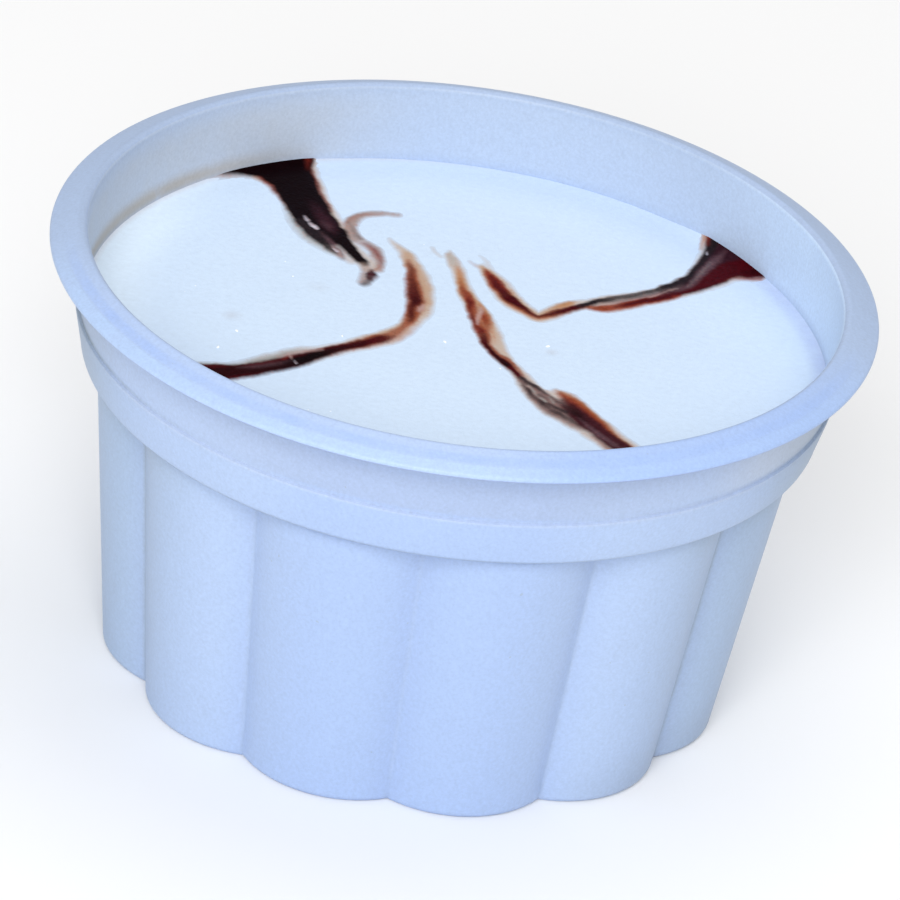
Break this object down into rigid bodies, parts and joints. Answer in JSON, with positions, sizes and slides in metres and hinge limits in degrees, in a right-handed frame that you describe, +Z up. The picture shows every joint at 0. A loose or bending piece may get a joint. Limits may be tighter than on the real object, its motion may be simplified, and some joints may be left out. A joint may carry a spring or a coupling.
{
  "type": "gelato cup",
  "caption": "Round single-serve tub with a fluted side, plain collar and sloping hollow lip, filled nearly full with cream gelato marbled with chocolate ripple.",
  "frame": {"origin": "centre of the ring that the cup stands on, in the plane of the surface under it", "axes": "+Z up along the cup's axis; -Y to the front, where a valley between two flutes faces"},
  "size_m": [0.08, 0.08, 0.044],
  "materials": {
    "cup_plastic": "thin moulded white plastic with a cool cast and a satin sheen",
    "cream_gelato": null,
    "chocolate_ripple": null
  },
  "bodies": {
    "root": {"cup": "cup_plastic", "gelato": "cream_gelato", "ripple_back_left": "chocolate_ripple", "ripple_front_left": "chocolate_ripple", "ripple_front_right": "chocolate_ripple", "ripple_right": "chocolate_ripple"}
  },
  "joints": []
}
